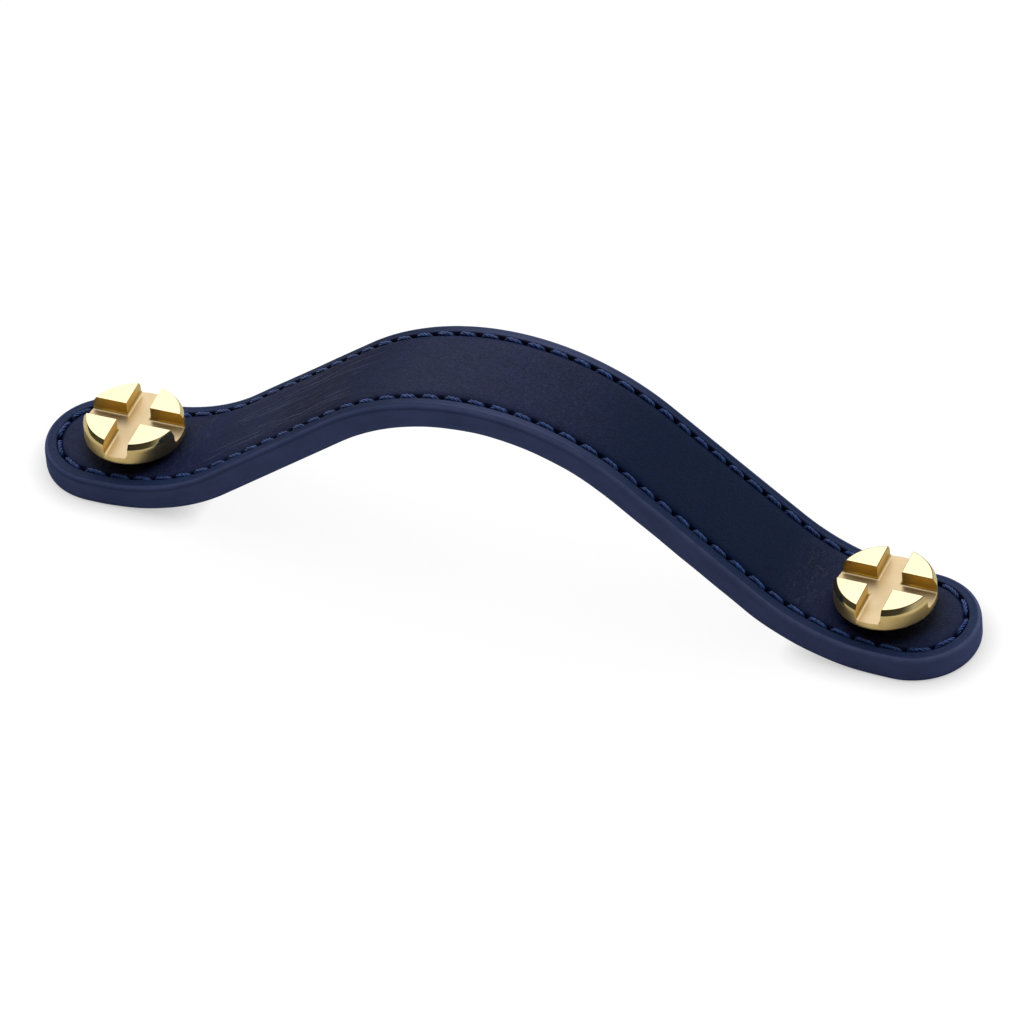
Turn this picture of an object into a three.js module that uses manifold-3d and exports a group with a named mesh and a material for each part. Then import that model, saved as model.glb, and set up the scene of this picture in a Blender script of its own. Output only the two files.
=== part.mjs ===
// A stitched leather strap pull, held by two slotted brass screws.
// Millimetres, +Z up from the face that the pull is fixed to. X runs along the strap and Y across it.
import * as THREE from "three";
import Module from "manifold-3d";

const wasm = await Module();
wasm.setup();

const { degToRad, smoothstep } = THREE.MathUtils;

// Clearance between pieces that cut, carry or touch each other
const CLEARANCE = 0.3;

// Strap, measured on the flat before it is bent
const HOLE_SPACING = 128;
const END_MARGIN = 15.3; // from a screw's axis to the tip of the strap
const FOOT_WIDTH = 21.4;
const CREST_WIDTH = 20.8; // the bent leather draws in a little at the top of the arch
const FRONT_THICKNESS = 2.3;
const BACK_THICKNESS = 2.1;
const EDGE_RADIUS = 0.6;

// Arch, as the underside runs: a crest arc, then a straight flank and a foot arc on each side
const CREST_RADIUS = 37;
const FOOT_RADIUS = 36.5;
const FLANK_SLOPE = degToRad(38);
const TOE_BEYOND_SCREW = 2.5; // the foot lies flat from here to the tip

// Seam: a needle thread on the front and a bobbin thread on the back, locked inside shared holes
const SEAM_INSET = 2.5;
const CREST_PITCH = 3.55; // length of a stitch all along the crest arc
const FOOT_PITCH = 4.7; // length of a stitch on the feet
const THREAD_DIAMETER = 0.85;
const STITCH_ARCH = 0.3; // rise of a front stitch's middle over its ends; the back ones are pulled flat
const NECK_SHARE = 0.7; // of the thread's width, where two stitches meet in a hole
const NEEDLE_LIFT = 0.05; // height of a front stitch's ends over the leather
const BOBBIN_RECESS = 0.1; // how far the back stitches stay inside the underside
const GROOVE_SHOULDER = 0.15; // leather left between a stitch hole and the groove's wall

// Screw: a slotted head on a collar, with a sleeve through the leather tapped from below
const HEAD_DIAMETER = 16.3;
const HEAD_HEIGHT = 4;
const CHAMFER_WIDTH = 0.62;
const CHAMFER_HEIGHT = 0.95;
const UNDERCUT_RADIUS = 0.5;
const SLOT_WIDTH = 4.1;
const SLOT_DEPTH = 2.5;
const SLOT_FILLET = 0.5;
const COLLAR_DIAMETER = 10.4;
const COLLAR_HEIGHT = 2.1;
const SLEEVE_DIAMETER = 6;
const SLEEVE_SETBACK = 0.4; // from the fixing face to the sleeve's end, so that the leather gets clamped
const THREAD_BORE_DIAMETER = 4;
const BORE_ROOF = 1.2; // metal left between the tapped bore and the slots
const LEFT_SLOT_TURN = degToRad(1);
const RIGHT_SLOT_TURN = degToRad(0);

// Facets
const CREST_SEGMENTS = 16;
const FOOT_SEGMENTS = 7;
const FLANK_SEGMENTS = 3;
const TIP_SEGMENTS = 6; // in each quarter of a rounded end
const EDGE_SEGMENTS = 2;
const HEAD_SEGMENTS = 40;
const THREAD_SEGMENTS = 5;
const SLOT_FILLET_SEGMENTS = 3;
const UNDERCUT_SEGMENTS = 3;
const SEAM_SLICES = 1000; // steps in which the stitches are counted along the seam

// Sizes that follow from those above
const STRAP_THICKNESS = BACK_THICKNESS + CLEARANCE + FRONT_THICKNESS;
const CREST_ARC = CREST_RADIUS * FLANK_SLOPE;
const FOOT_ARC = FOOT_RADIUS * FLANK_SLOPE;
const TOE_X = HOLE_SPACING / 2 + TOE_BEYOND_SCREW;
const FLANK_LENGTH =
  (TOE_X - (CREST_RADIUS + FOOT_RADIUS) * Math.sin(FLANK_SLOPE)) / Math.cos(FLANK_SLOPE);
const ARCH_HEIGHT =
  (CREST_RADIUS + FOOT_RADIUS) * (1 - Math.cos(FLANK_SLOPE)) + FLANK_LENGTH * Math.sin(FLANK_SLOPE);
const TOE_S = CREST_ARC + FLANK_LENGTH + FOOT_ARC;
const TIP_RADIUS = FOOT_WIDTH / 2;
const TIP_CENTRE_S = TOE_S + HOLE_SPACING / 2 + END_MARGIN - TOE_X - TIP_RADIUS;
const THREAD_RADIUS = THREAD_DIAMETER / 2;
const HOLE_WIDTH = THREAD_DIAMETER + 2 * CLEARANCE;
const GROOVE_WIDTH = HOLE_WIDTH + 2 * GROOVE_SHOULDER;
const FRONT_GROOVE_DEPTH = THREAD_RADIUS + CLEARANCE - NEEDLE_LIFT;
const BACK_GROOVE_DEPTH = BOBBIN_RECESS + THREAD_DIAMETER + CLEARANCE;
const LOCK_HEIGHT = BACK_THICKNESS + CLEARANCE / 2; // where the two threads meet

// Materials
const frontLeather = material(0x1d2644, 0.5, 0);
const backLeather = material(0x232c4c, 0.6, 0);
const thread = material(0x32508f, 0.65, 0);
const brass = material(0xcfa85a, 0.28, 1);

function material(color, roughness, metalness) {
  return new THREE.MeshStandardMaterial({ color, roughness, metalness });
}

// Bends a point of the flat strap: s along it from the middle, y across it, h above its underside.
function bend(s, y, h) {
  const side = Math.sign(s) || 1;
  const run = Math.abs(s);
  if (run <= CREST_ARC) {
    const angle = run / CREST_RADIUS;
    const radius = CREST_RADIUS + h;
    return new THREE.Vector3(
      side * radius * Math.sin(angle),
      y,
      ARCH_HEIGHT - CREST_RADIUS + radius * Math.cos(angle),
    );
  }
  if (run >= TOE_S) return new THREE.Vector3(side * (TOE_X + run - TOE_S), y, h);
  const beforeToe = Math.min(TOE_S - run, FOOT_ARC);
  const angle = beforeToe / FOOT_RADIUS;
  const upFlank = TOE_S - run - beforeToe;
  const radius = FOOT_RADIUS - h;
  return new THREE.Vector3(
    side * (TOE_X - radius * Math.sin(angle) - upFlank * Math.cos(angle)),
    y,
    FOOT_RADIUS - radius * Math.cos(angle) + upFlank * Math.sin(angle),
  );
}

// Half the strap's width at s, narrowest at the crest
function halfWidth(s) {
  const share = smoothstep(Math.abs(s), 0, TOE_S);
  return (CREST_WIDTH + (FOOT_WIDTH - CREST_WIDTH) * share) / 2;
}

// Values from a to b, without b
function steps(a, b, count) {
  return Array.from({ length: count }, (_, i) => a + ((b - a) * i) / count);
}

// Places along one straight side, from the right tip's centre to the left one's
function sideStations() {
  const right = [
    TIP_CENTRE_S,
    ...steps(TOE_S, TOE_S - FOOT_ARC, FOOT_SEGMENTS),
    ...steps(CREST_ARC + FLANK_LENGTH, CREST_ARC, FLANK_SEGMENTS),
    ...steps(CREST_ARC, 0, CREST_SEGMENTS / 2),
  ];
  return [...right, 0, ...right.map((s) => -s).reverse()];
}

// The strap's outline on the flat, set in by a distance, counterclockwise from the right tip.
// Point i and point length - i lie across from each other.
function outline(inset) {
  const radius = TIP_RADIUS - inset;
  const upper = [
    ...steps(0, Math.PI / 2, TIP_SEGMENTS).map(
      (a) => new THREE.Vector2(TIP_CENTRE_S + radius * Math.cos(a), radius * Math.sin(a)),
    ),
    ...sideStations().map((s) => new THREE.Vector2(s, halfWidth(s) - inset)),
    ...steps(Math.PI, Math.PI / 2, TIP_SEGMENTS)
      .reverse()
      .map((a) => new THREE.Vector2(radius * Math.cos(a) - TIP_CENTRE_S, radius * Math.sin(a))),
  ];
  const lower = upper.slice(1, -1).map((p) => new THREE.Vector2(p.x, -p.y));
  return [...upper, ...lower.reverse()];
}

// Closes a stack of rings, each a list of points in order, into one surface.
// The caps join the points that lie across from each other, and have no triangle where two
// of its corners are one point, at the tips. A loop has no caps and joins its ends.
function surfaceOf(rings, isLoop) {
  const size = rings[0].length;
  const at = (ring, i) => ring * size + (i % size);
  const faces = [];
  const triangle = (a, b, c) => {
    if (a !== b && b !== c && c !== a) faces.push(a, b, c);
  };
  const quad = (a, b, c, d) => {
    triangle(a, b, c);
    triangle(a, c, d);
  };
  const last = rings.length - 1;
  rings.forEach((_, k) => {
    if (k === last && !isLoop) return;
    const next = (k + 1) % rings.length;
    for (let i = 0; i < size; i++) quad(at(k, i), at(k, i + 1), at(next, i + 1), at(next, i));
  });
  for (let i = 0; i < size / 2 && !isLoop; i++) {
    quad(at(0, i), at(0, size - i), at(0, size - i - 1), at(0, i + 1));
    quad(at(last, i), at(last, i + 1), at(last, size - i - 1), at(last, size - i));
  }
  const geometry = new THREE.BufferGeometry().setFromPoints(rings.flat());
  geometry.setIndex(faces);
  return geometry;
}

// A layer of the strap: its section from the lower face round the edge to the upper face,
// as [inset, height] pairs, swept round the outline and bent.
function layer(section) {
  return surfaceOf(
    section.map(([inset, h]) => outline(inset).map((p) => bend(p.x, p.y, h))),
    false,
  );
}

// A channel for the seam in a face at height h, from the edge inwards; depth is negative going down.
function groove(h, depth) {
  const outer = SEAM_INSET - GROOVE_WIDTH / 2;
  const inner = SEAM_INSET + GROOVE_WIDTH / 2;
  return [
    [outer, h],
    [outer, h + depth],
    [inner, h + depth],
    [inner, h],
  ];
}

// The rounded edge of a face at height h, from the side to the face; up is 1 or -1.
function roundedEdge(h, up) {
  return Array.from({ length: EDGE_SEGMENTS + 1 }, (_, i) => {
    const a = (Math.PI / 2) * (i / EDGE_SEGMENTS);
    return [EDGE_RADIUS * (1 - Math.cos(a)), h - up * EDGE_RADIUS * (1 - Math.sin(a))];
  });
}

// The line of the stitches on the flat
function seamCurve() {
  const points = outline(SEAM_INSET).map((p) => new THREE.Vector3(p.x, p.y, 0));
  const curve = new THREE.CatmullRomCurve3(points, true);
  curve.arcLengthDivisions = points.length * 20;
  return curve;
}

// The holes' places along the seam, from the right tip, with a stitch across each tip.
// The pitch grows from the crest's, at the end of the crest arc, to the foot's at the toe.
function holePlaces() {
  const slice = seamLength / SEAM_SLICES;
  const counts = [0];
  for (let i = 0; i < SEAM_SLICES; i++) {
    const run = Math.abs(seam.getPointAt((i + 0.5) / SEAM_SLICES).x);
    const growth = smoothstep(run, CREST_ARC, TOE_S);
    counts.push(counts[i] + slice / (CREST_PITCH + (FOOT_PITCH - CREST_PITCH) * growth));
  }
  const total = counts[SEAM_SLICES];
  const stitches = 4 * Math.round(total / 4);
  return Array.from({ length: stitches }, (_, k) => {
    const count = (total * (k + 0.5)) / stitches;
    const i = counts.findIndex((c) => c > count) - 1;
    return slice * (i + (count - counts[i]) / (counts[i + 1] - counts[i]));
  });
}

const seam = seamCurve();
const seamLength = seam.getLength();
const holes = holePlaces();

// Where the seam is at a distance from the right tip, and which way it runs
function onSeam(distance) {
  const t = (distance / seamLength + 1) % 1;
  return { centre: seam.getPointAt(t), tangent: seam.getTangentAt(t) };
}

// One thread, laid from hole to hole all round the seam. up is the way that its face looks,
// lift its centre's height over that face at the ends of a stitch, arch the rise of a stitch's
// middle, and lock the height where it ends in the holes.
function stitchThread({ face, up, lift, arch, lock }) {
  const neck = THREAD_RADIUS * NECK_SHARE;
  const rings = [];
  holes.forEach((start, k) => {
    const next = holes[k + 1] ?? holes[0] + seamLength;
    const sections = [
      { distance: start - neck, rise: -THREAD_RADIUS, dives: true },
      { distance: start + neck, rise: -THREAD_RADIUS, dives: true },
      { distance: start + THREAD_RADIUS, rise: 0, dives: false },
      ...(arch > 0 ? [{ distance: (start + next) / 2, rise: arch, dives: false }] : []),
      { distance: next - THREAD_RADIUS, rise: 0, dives: false },
    ];
    for (const { distance, rise, dives } of sections) {
      const { centre, tangent } = onSeam(distance);
      rings.push(
        ringSection().map(({ across, out }) => {
          const isDeep = dives && out < 0;
          const h = isDeep ? lock : face + up * (lift + rise + out);
          return bend(centre.x - tangent.y * across * up, centre.y + tangent.x * across * up, h);
        }),
      );
    }
  });
  return surfaceOf(rings, true);
}

// The thread's section: one corner on top and a pair below
function ringSection() {
  return steps(Math.PI / 2, 2.5 * Math.PI, THREAD_SEGMENTS).map((a) => ({
    across: THREAD_RADIUS * Math.cos(a),
    out: THREAD_RADIUS * Math.sin(a),
  }));
}

// Booleans
function solid(geometry) {
  const positions = geometry.getAttribute("position");
  const index = geometry.index?.array ?? Uint32Array.from({ length: positions.count }, (_, i) => i);
  const mesh = new wasm.Mesh({
    numProp: 3,
    vertProperties: new Float32Array(positions.array),
    triVerts: new Uint32Array(index),
  });
  mesh.merge();
  return new wasm.Manifold(mesh);
}

function geometryOf(body) {
  const mesh = body.getMesh();
  const geometry = new THREE.BufferGeometry();
  geometry.setAttribute("position", new THREE.BufferAttribute(mesh.vertProperties, 3));
  geometry.setIndex(new THREE.BufferAttribute(mesh.triVerts, 1));
  return geometry;
}

// An upright cylinder from one height to another
function upright(radius, bottom, top, x) {
  const geometry = new THREE.CylinderGeometry(radius, radius, top - bottom, HEAD_SEGMENTS);
  geometry.rotateX(Math.PI / 2).translate(x, 0, (bottom + top) / 2);
  return solid(geometry);
}

// The holes that a pricking iron makes, square to the leather, from one height in it to another
function seamHoles(bottom, top) {
  return holes.map((place) => {
    const { centre, tangent } = onSeam(place);
    const low = bend(centre.x, centre.y, bottom);
    const high = bend(centre.x, centre.y, top);
    const up = high.clone().sub(low).normalize();
    const ahead = bend(centre.x + tangent.x, centre.y + tangent.y, bottom).sub(low);
    const across = up.clone().cross(ahead).normalize();
    const along = across.clone().cross(up);
    const geometry = new THREE.BoxGeometry(HOLE_WIDTH, HOLE_WIDTH, top - bottom);
    geometry.applyMatrix4(new THREE.Matrix4().makeBasis(along, across, up));
    return solid(geometry.translate(...low.lerp(high, 0.5).toArray()));
  });
}

// Room for a screw: its sleeve through the leather, a flat seat under its collar, and its head
function screwRoom(x) {
  const top = STRAP_THICKNESS + COLLAR_HEIGHT + HEAD_HEIGHT;
  const sleeve = upright(SLEEVE_DIAMETER / 2 + CLEARANCE, -1, top, x);
  const seat = upright(COLLAR_DIAMETER / 2 + CLEARANCE, STRAP_THICKNESS, top, x);
  const head = upright(HEAD_DIAMETER / 2 + CLEARANCE, STRAP_THICKNESS + COLLAR_HEIGHT, top, x);
  return sleeve.add(seat).add(head);
}

function cutLayer(section, holeBottom, holeTop) {
  const cutters = [...seamHoles(holeBottom, holeTop), ...screwPlaces().map(screwRoom)];
  return geometryOf(cutters.reduce((body, cutter) => body.subtract(cutter), solid(layer(section))));
}

function screwPlaces() {
  return [-HOLE_SPACING / 2, HOLE_SPACING / 2];
}

// The front leather, from the glue line to the show face
function frontLayer() {
  const bottom = BACK_THICKNESS + CLEARANCE;
  const section = [
    [0, bottom],
    ...roundedEdge(STRAP_THICKNESS, 1),
    ...groove(STRAP_THICKNESS, -FRONT_GROOVE_DEPTH),
  ];
  return cutLayer(section, bottom - 1, STRAP_THICKNESS + 1);
}

// The back leather, from the face that lies on the door to the glue line
function backLayer() {
  const section = [
    ...groove(0, BACK_GROOVE_DEPTH).reverse(),
    ...roundedEdge(0, -1).reverse(),
    [0, BACK_THICKNESS],
  ];
  return cutLayer(section, -1, BACK_THICKNESS + 1);
}

// A slot across the head, its floor rounded into its walls
function slotCutter(top, turn) {
  const half = SLOT_WIDTH / 2;
  const floor = top - SLOT_DEPTH;
  const shape = new THREE.Shape();
  shape.moveTo(half, top + 1);
  shape.lineTo(-half, top + 1);
  shape.lineTo(-half, floor + SLOT_FILLET);
  shape.absarc(-half + SLOT_FILLET, floor + SLOT_FILLET, SLOT_FILLET, Math.PI, 1.5 * Math.PI);
  shape.absarc(half - SLOT_FILLET, floor + SLOT_FILLET, SLOT_FILLET, 1.5 * Math.PI, 2 * Math.PI);
  shape.closePath();
  const length = HEAD_DIAMETER + 2;
  const geometry = new THREE.ExtrudeGeometry(shape, {
    depth: length,
    bevelEnabled: false,
    curveSegments: SLOT_FILLET_SEGMENTS,
  });
  geometry.translate(0, 0, -length / 2).rotateX(Math.PI / 2).rotateZ(turn);
  return solid(geometry);
}

// A screw, upright on its own axis
function screw(turn) {
  const seat = STRAP_THICKNESS + CLEARANCE;
  const underside = seat + COLLAR_HEIGHT;
  const top = underside + HEAD_HEIGHT;
  const radius = HEAD_DIAMETER / 2;
  const profile = new THREE.Path();
  profile.moveTo(0, top - SLOT_DEPTH - BORE_ROOF);
  profile.lineTo(THREAD_BORE_DIAMETER / 2, top - SLOT_DEPTH - BORE_ROOF);
  profile.lineTo(THREAD_BORE_DIAMETER / 2, SLEEVE_SETBACK);
  profile.lineTo(SLEEVE_DIAMETER / 2, SLEEVE_SETBACK);
  profile.lineTo(SLEEVE_DIAMETER / 2, seat);
  profile.lineTo(COLLAR_DIAMETER / 2, seat);
  profile.lineTo(COLLAR_DIAMETER / 2, underside);
  profile.lineTo(radius - UNDERCUT_RADIUS, underside);
  profile.absarc(
    radius - UNDERCUT_RADIUS,
    underside + UNDERCUT_RADIUS,
    UNDERCUT_RADIUS,
    -Math.PI / 2,
    0,
  );
  profile.lineTo(radius, top - CHAMFER_HEIGHT);
  profile.lineTo(radius - CHAMFER_WIDTH, top);
  profile.lineTo(0, top);
  const turned = new THREE.LatheGeometry(profile.getPoints(UNDERCUT_SEGMENTS), HEAD_SEGMENTS);
  turned.rotateX(Math.PI / 2);
  const slots = [turn, turn + Math.PI / 2].map((angle) => slotCutter(top, angle));
  return geometryOf(slots.reduce((body, slot) => body.subtract(slot), solid(turned)));
}

function named(name, geometry, finish) {
  const mesh = new THREE.Mesh(geometry, finish.clone());
  mesh.name = name;
  return mesh;
}

const needleThread = stitchThread({
  face: STRAP_THICKNESS,
  up: 1,
  lift: NEEDLE_LIFT,
  arch: STITCH_ARCH,
  lock: LOCK_HEIGHT + CLEARANCE / 2,
});
const bobbinThread = stitchThread({
  face: 0,
  up: -1,
  lift: -BOBBIN_RECESS - THREAD_RADIUS,
  arch: 0,
  lock: LOCK_HEIGHT - CLEARANCE / 2,
});

const pull = new THREE.Group();
pull.add(named("leather_front", frontLayer(), frontLeather));
pull.add(named("leather_back", backLayer(), backLeather));
pull.add(named("needle_thread", needleThread, thread));
pull.add(named("bobbin_thread", bobbinThread, thread));

const screwLeft = named("screw_left", screw(LEFT_SLOT_TURN), brass);
const screwRight = named("screw_right", screw(RIGHT_SLOT_TURN), brass);
[screwLeft, screwRight].forEach((mesh, i) => {
  mesh.position.x = screwPlaces()[i];
  pull.add(mesh);
});

export default pull;
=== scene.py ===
import math

import bmesh
import bpy
import numpy as np
from mathutils import Matrix, Vector

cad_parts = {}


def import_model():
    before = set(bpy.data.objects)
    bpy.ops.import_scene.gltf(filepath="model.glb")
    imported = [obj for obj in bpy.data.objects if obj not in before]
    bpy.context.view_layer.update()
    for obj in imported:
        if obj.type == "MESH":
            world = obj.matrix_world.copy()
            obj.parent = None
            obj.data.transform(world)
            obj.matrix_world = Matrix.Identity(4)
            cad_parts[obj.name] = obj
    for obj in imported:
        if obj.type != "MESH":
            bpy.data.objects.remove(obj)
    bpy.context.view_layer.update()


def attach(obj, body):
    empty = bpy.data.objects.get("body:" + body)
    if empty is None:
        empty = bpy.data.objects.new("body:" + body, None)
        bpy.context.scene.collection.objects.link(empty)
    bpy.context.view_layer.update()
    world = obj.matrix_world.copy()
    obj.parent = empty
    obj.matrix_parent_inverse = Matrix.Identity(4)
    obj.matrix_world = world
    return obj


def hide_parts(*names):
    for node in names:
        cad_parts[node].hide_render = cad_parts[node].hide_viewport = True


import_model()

# Lengths are in millimetres up to the meshes, which are in metres.
MM = 0.001

# Strap, as in the CAD part
HOLE_SPACING = 128
END_MARGIN = 15.3
FOOT_WIDTH = 21.4
CREST_WIDTH = 20.8
THICKNESS = 4.7
CREST_RADIUS = 37
FOOT_RADIUS = 36.5
FLANK_SLOPE = math.radians(38)
TOE_BEYOND_SCREW = 2.5
TIP_RADIUS = FOOT_WIDTH / 2
CREST_ARC = CREST_RADIUS * FLANK_SLOPE
FOOT_ARC = FOOT_RADIUS * FLANK_SLOPE
TOE_X = HOLE_SPACING / 2 + TOE_BEYOND_SCREW
FLANK_LENGTH = (TOE_X - (CREST_RADIUS + FOOT_RADIUS) * math.sin(FLANK_SLOPE)) / math.cos(FLANK_SLOPE)
ARCH_HEIGHT = (
    (CREST_RADIUS + FOOT_RADIUS) * (1 - math.cos(FLANK_SLOPE)) + FLANK_LENGTH * math.sin(FLANK_SLOPE)
)
TOE_S = CREST_ARC + FLANK_LENGTH + FOOT_ARC
SCREW_S = TOE_S - TOE_BEYOND_SCREW
TIP_CENTRE_S = SCREW_S + END_MARGIN - TIP_RADIUS
SIDE_LENGTH = 2 * TIP_CENTRE_S

# Seam, as in the CAD part
SEAM_INSET = 2.5
CREST_PITCH = 3.55
FOOT_PITCH = 4.7
SEAM_RADIUS = TIP_RADIUS - SEAM_INSET
SEAM_LENGTH = 2 * SIDE_LENGTH + 2 * math.pi * SEAM_RADIUS
SEAM_SLICES = 4000

# Screw, as in the CAD part
HEAD_RADIUS = 8.15
HEAD_HEIGHT = 4
CHAMFER_WIDTH = 0.62
CHAMFER_HEIGHT = 0.95
UNDERCUT_RADIUS = 0.5
SLOT_WIDTH = 4.1
SLOT_DEPTH = 2.5
SLOT_FILLET = 0.5
COLLAR_RADIUS = 5.2
COLLAR_HEIGHT = 2.1
SLEEVE_RADIUS = 3
SLEEVE_SETBACK = 0.4
BORE_RADIUS = 2
BORE_ROOF = 1.2
CLEARANCE = 0.3
SLOT_TURNS = {"left": math.radians(1), "right": 0.0}

# Thread
PLIES = 3
PLY_RADIUS = 0.18
TWIST_RADIUS = 0.19
TWIST_LENGTH = 2.3
TWIST_DRIFT = 0.7  # radians by which the twist runs ahead and falls behind
TWIST_DRIFTS = 31  # and how often it does so round the seam
THREAD_FLATNESS = 0.74  # a tight stitch is pressed flat against the leather
PINCH = 0.28  # share of its thickness that a thread loses in a hole
PINCH_REACH = 0.55
HOLE_SHADE_REACH = 0.7

# Heights of the front stitches
NEEDLE_SINK = 0.25  # how far a stitch's line lies under the strap's thickness
NEEDLE_BOW = 0.2  # how far the middle of a stitch stands over its ends
NEEDLE_DIVE = 1.3  # how far it goes down at a hole
NEEDLE_DIVE_REACH = 0.48
NEEDLE_SLANT = 0.22  # how far a stitch swings across the seam from its start to its end

# Heights of the back stitches
BOBBIN_HEIGHT = 0.52
BOBBIN_SAG = 0.02  # how far the middle of a stitch lies under its ends
BOBBIN_RISE = 0.8  # how far it goes up at a hole
BOBBIN_RISE_REACH = 0.8


# Geometry of the bent strap


def smoothstep(x, low, high):
    t = np.clip((x - low) / (high - low), 0, 1)
    return t * t * (3 - 2 * t)


def bend(s, y, h):
    """Bends points of the flat strap: s along it from the middle, y across, h above its underside."""
    side = np.where(s < 0, -1.0, 1.0)
    run = np.abs(s)
    crest_turn = np.minimum(run, CREST_ARC) / CREST_RADIUS
    before_toe = np.clip(TOE_S - run, 0, FOOT_ARC)
    foot_turn = before_toe / FOOT_RADIUS
    up_flank = np.maximum(TOE_S - run - before_toe, 0)
    beyond_toe = np.maximum(run - TOE_S, 0)
    foot_x = (
        TOE_X + beyond_toe - (FOOT_RADIUS - h) * np.sin(foot_turn) - up_flank * math.cos(FLANK_SLOPE)
    )
    foot_z = FOOT_RADIUS - (FOOT_RADIUS - h) * np.cos(foot_turn) + up_flank * math.sin(FLANK_SLOPE)
    on_crest = run <= CREST_ARC
    x = np.where(on_crest, (CREST_RADIUS + h) * np.sin(crest_turn), foot_x)
    z = np.where(on_crest, ARCH_HEIGHT - CREST_RADIUS + (CREST_RADIUS + h) * np.cos(crest_turn), foot_z)
    return np.stack([side * x, y + 0 * x, z], -1)


def half_width(s):
    return (CREST_WIDTH + (FOOT_WIDTH - CREST_WIDTH) * smoothstep(np.abs(s), 0, TOE_S)) / 2


def seam_base(distance):
    """For places along the seam from the right tip: the s that they are measured from, the way out
    across the strap as (s, y), and how far out the strap's edge is."""
    quarter = SEAM_RADIUS * math.pi / 2
    distance = np.mod(distance, SEAM_LENGTH)
    legs = np.cumsum([quarter, SIDE_LENGTH, 2 * quarter, SIDE_LENGTH])
    s = np.where(distance < quarter, TIP_CENTRE_S, -TIP_CENTRE_S)
    s = np.where(distance >= legs[3], TIP_CENTRE_S, s)
    on_far = (distance >= legs[0]) & (distance < legs[1])
    on_near = (distance >= legs[2]) & (distance < legs[3])
    s = np.where(on_far, TIP_CENTRE_S - (distance - legs[0]), s)
    s = np.where(on_near, distance - legs[2] - TIP_CENTRE_S, s)
    angle = distance / SEAM_RADIUS
    angle = np.where(distance >= legs[1], math.pi / 2 + (distance - legs[1]) / SEAM_RADIUS, angle)
    angle = np.where(distance >= legs[3], 1.5 * math.pi + (distance - legs[3]) / SEAM_RADIUS, angle)
    angle = np.where(on_far, math.pi / 2, angle)
    angle = np.where(on_near, -math.pi / 2, angle)
    reach = np.where(on_far | on_near, half_width(s), TIP_RADIUS)
    return s, np.cos(angle), np.sin(angle), reach


def stitch_pitch(distance):
    """The length of a stitch at places along the seam: short on the crest, long at the feet."""
    s, out_s, _, reach = seam_base(distance)
    run = np.abs(s + out_s * (reach - SEAM_INSET))
    return CREST_PITCH + (FOOT_PITCH - CREST_PITCH) * smoothstep(run, CREST_ARC, TOE_S)


def count_stitches():
    """A table of distance along the seam against the number of stitches so far, and their total. It
    is a multiple of four, so that the four quarters of the seam are alike."""
    edges = np.linspace(0, SEAM_LENGTH, SEAM_SLICES + 1)
    middles = (edges[1:] + edges[:-1]) / 2
    counts = np.concatenate([[0], np.cumsum(np.diff(edges) / stitch_pitch(middles))])
    total = 4 * round(counts[-1] / 4)
    return edges, counts * total / counts[-1], total


EDGES, COUNTS, STITCHES = count_stitches()


def along_seam(steps_a_stitch):
    """Evenly counted places all round the seam: their distance, and the distance to the nearest
    hole. A hole lies half a stitch from the right tip."""
    count = np.arange(STITCHES * steps_a_stitch) / steps_a_stitch
    distance = np.interp(count, COUNTS, EDGES)
    hole = np.interp(np.floor(count) + 0.5, COUNTS, EDGES)
    return distance, distance - hole


# Meshes


def mesh_object(name, places, faces, attributes=(), smooth=True):
    """An object from points in millimetres, with named attributes that its materials read."""
    mesh = bpy.data.meshes.new(name)
    mesh.from_pydata((places * MM).tolist(), [], faces)
    for key, values in dict(attributes).items():
        kind = "FLOAT_VECTOR" if values.ndim == 2 else "FLOAT"
        field = "vector" if values.ndim == 2 else "value"
        made = mesh.attributes.new(key, kind, "POINT")
        made.data.foreach_set(field, values.astype(np.float32).ravel())
    mesh.polygons.foreach_set("use_smooth", [smooth] * len(mesh.polygons))
    mesh.update()
    thing = bpy.data.objects.new(name, mesh)
    bpy.context.scene.collection.objects.link(thing)
    return thing


def apply_modifiers(thing):
    """Replaces the object's mesh by its final one."""
    graph = bpy.context.evaluated_depsgraph_get()
    final = bpy.data.meshes.new_from_object(
        thing.evaluated_get(graph), preserve_all_data_layers=True, depsgraph=graph
    )
    thing.modifiers.clear()
    thing.data = final


def cut(thing, cutters):
    """Takes the cutters, which then go, out of the object."""
    for cutter in cutters:
        taken = thing.modifiers.new("cut", "BOOLEAN")
        taken.object = cutter
        taken.operation = "DIFFERENCE"
        taken.solver = "EXACT"
    apply_modifiers(thing)
    for cutter in cutters:
        bpy.data.objects.remove(cutter)


def grid_faces(rows, columns, closed_rows):
    """Quads of a grid whose columns close on themselves, and its rows too if asked."""
    faces = []
    for row in range(rows if closed_rows else rows - 1):
        here, there = row * columns, (row + 1) % rows * columns
        for i in range(columns):
            j = (i + 1) % columns
            faces.append((here + i, here + j, there + j, there + i))
    return faces


def lathe(name, profile, segments, x):
    """A solid turned about an upright axis at x. The profile runs from axis to axis, upwards on the
    outside."""
    turns = np.arange(segments) * 2 * math.pi / segments
    body = profile[1:-1]
    rings = [
        np.stack([x + r * np.cos(turns), r * np.sin(turns), np.full(segments, z)], -1) for r, z in body
    ]
    ends = np.array([[x, 0, profile[0][1]], [x, 0, profile[-1][1]]])
    faces = grid_faces(len(body), segments, False)
    low, high = len(body) * segments, len(body) * segments + 1
    last = (len(body) - 1) * segments
    for i in range(segments):
        j = (i + 1) % segments
        faces.append((low, j, i))
        faces.append((high, last + i, last + j))
    return mesh_object(name, np.concatenate([*rings, ends]), faces)


# Strap

COLUMNS_A_STITCH = 14
GROOVE_REACH = 4.0  # inset at which the puffed middle begins

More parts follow.
